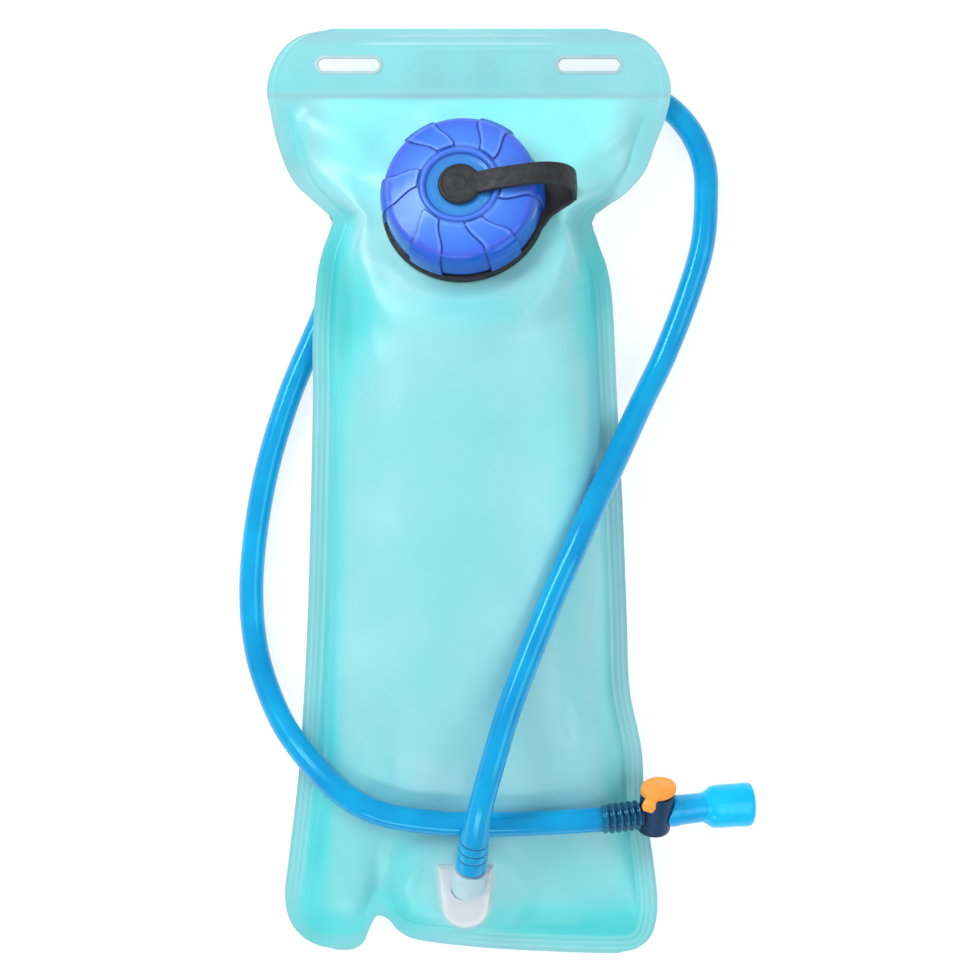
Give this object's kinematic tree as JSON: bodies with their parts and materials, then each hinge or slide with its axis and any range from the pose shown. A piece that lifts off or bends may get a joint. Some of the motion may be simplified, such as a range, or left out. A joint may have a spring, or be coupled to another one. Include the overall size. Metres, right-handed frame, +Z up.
{
  "type": "hydration bladder",
  "caption": "Welded film water bladder with a slotted header, tethered screw cap, outlet port, drinking hose, turn valve and bite valve.",
  "frame": {"origin": "on the floor, under the middle of the bag's width and length", "axes": "+Y along the bag towards its slotted header, +Z up out of the face with the filler cap, +X to the side of the mouthpiece"},
  "size_m": [0.2212, 0.395, 0.0646],
  "materials": {
    "aqua_film": "soft translucent film, satin",
    "blue_plastic": "translucent moulded, glossy",
    "black_rubber": "matte moulded",
    "milky_plastic": "satin",
    "milky_rubber": "satin",
    "frosted_plastic": "frosted translucent",
    "blue_hose": "clear tinted, glossy",
    "navy_plastic": "satin moulded",
    "orange_plastic": "satin moulded",
    "clip_steel": "spring steel",
    "blue_silicone": "soft translucent, satin"
  },
  "bodies": {
    "bag": {"front_film": "aqua_film", "back_film": "aqua_film", "filler_neck": "milky_plastic", "tether_ring": "black_rubber", "tether_strap": "black_rubber", "outlet_port": "frosted_plastic", "outlet_spigot": "frosted_plastic", "drinking_hose": "blue_hose", "valve_barb": "navy_plastic", "valve_body": "navy_plastic", "mouthpiece_spigot": "navy_plastic", "spool_clip": "clip_steel"},
    "cap_hub": {"tether_button": "black_rubber", "button_retainer": "milky_plastic"},
    "cap": {"filler_cap": "blue_plastic", "cap_seal": "milky_rubber"},
    "lever": {"valve_lever": "orange_plastic", "valve_spool": "orange_plastic", "upper_spool_seal": "black_rubber", "lower_spool_seal": "black_rubber"},
    "mouthpiece": {"bite_valve": "blue_silicone"}
  },
  "joints": [
    {"name": "cap_lift", "type": "slide", "parent": "bag", "child": "cap_hub", "axis": [-0.087, 0.3159, 0.9448], "range_m": [0, 0.0106], "deforming": ["tether_strap"]},
    {"name": "cap_turn", "type": "hinge", "parent": "cap_hub", "child": "cap", "pos_m": [-0.0017, 0.1205, 0.0343], "axis": [-0.087, 0.3159, 0.9448], "range_deg": [0, 630]},
    {"name": "valve_turn", "type": "hinge", "parent": "bag", "child": "lever", "pos_m": [0.0792, -0.1364, 0.0201], "axis": [0.0869, 0.8628, 0.4981], "range_deg": [-51, 39]},
    {"name": "bite_valve_pull", "type": "slide", "parent": "bag", "child": "mouthpiece", "axis": [0.9474, 0.083, -0.309], "range_m": [0, 0.016]}
  ],
  "couplings": [
    {"joint": "cap_lift", "follows": "cap_turn", "m_per_rad": 0.00095493}
  ]
}
